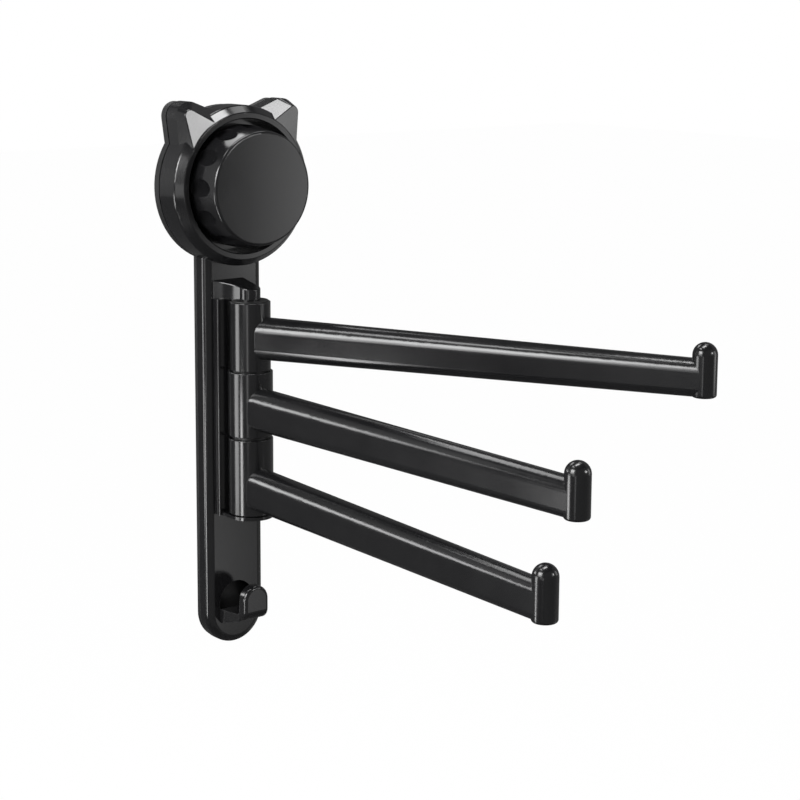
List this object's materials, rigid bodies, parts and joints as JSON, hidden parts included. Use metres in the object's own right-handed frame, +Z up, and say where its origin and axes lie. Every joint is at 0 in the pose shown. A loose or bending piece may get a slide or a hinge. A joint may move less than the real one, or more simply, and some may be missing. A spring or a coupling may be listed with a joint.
{
  "type": "swing arm towel bar",
  "caption": "Wall-mounted towel holder with swinging arms hinged on one pin, a small hook below and a round eared head that holds on by a suction cup tightened with a turning knob.",
  "frame": {"origin": "on the wall's plane, where the knob's axis meets it", "axes": "+Z up along the strip, +X to the right as seen from the front, +Y into the wall; the arms stand out towards -Y"},
  "size_m": [0.1603, 0.2883, 0.3045],
  "materials": {
    "casing": "satin",
    "backing": "matte",
    "grip": "satin",
    "arm": "satin",
    "sleeve": "satin",
    "steel": "plain",
    "cup": "glossy, soft",
    "nylon": "black acetal",
    "insert": "machined"
  },
  "bodies": {
    "wall_unit": {"back_plate": "backing", "front_shell": "casing", "hook": "casing", "shell_screws": "steel", "suction_cup": "cup", "pressure_plate": "backing", "thrust_washer": "nylon", "hinge_bracket": "casing", "bracket_screws": "steel", "pivot_pin": "steel", "friction_washers": "nylon", "spacer_washer": "backing"},
    "stem": {"cup_stem": "steel"},
    "knob_body": {"knob": "grip", "knob_insert": "insert"},
    "arm_top": {"knuckle_top": "sleeve", "bush_top": "nylon", "arm_bar_top": "arm", "arm_screw_top": "steel"},
    "arm_middle": {"knuckle_middle": "sleeve", "bush_middle": "nylon", "arm_bar_middle": "arm", "arm_screw_middle": "steel"},
    "arm_bottom": {"knuckle_bottom": "sleeve", "bush_bottom": "nylon", "arm_bar_bottom": "arm", "arm_screw_bottom": "steel"}
  },
  "joints": [
    {"name": "knob_turn", "type": "hinge", "parent": "wall_unit", "child": "knob_body", "pos_m": [0, 0, 0], "axis": [0, -1, 0], "range_deg": [0, 270]},
    {"name": "stem_slide", "type": "slide", "parent": "wall_unit", "child": "stem", "axis": [0, 1, 0], "range_m": [0, 0.0026], "deforming": ["suction_cup"]},
    {"name": "arm_top_swing", "type": "hinge", "parent": "wall_unit", "child": "arm_top", "pos_m": [0, -0.027, 0], "axis": [0, 0, -1], "range_deg": [-64.3, 115.7]},
    {"name": "arm_middle_swing", "type": "hinge", "parent": "wall_unit", "child": "arm_middle", "pos_m": [0, -0.027, 0], "axis": [0, 0, -1], "range_deg": [-89.8, 90.2]},
    {"name": "arm_bottom_swing", "type": "hinge", "parent": "wall_unit", "child": "arm_bottom", "pos_m": [0, -0.027, 0], "axis": [0, 0, -1], "range_deg": [-93.9, 86.1]}
  ],
  "couplings": [
    {"joint": "stem_slide", "follows": "knob_turn", "m_per_rad": 0.00054113}
  ]
}
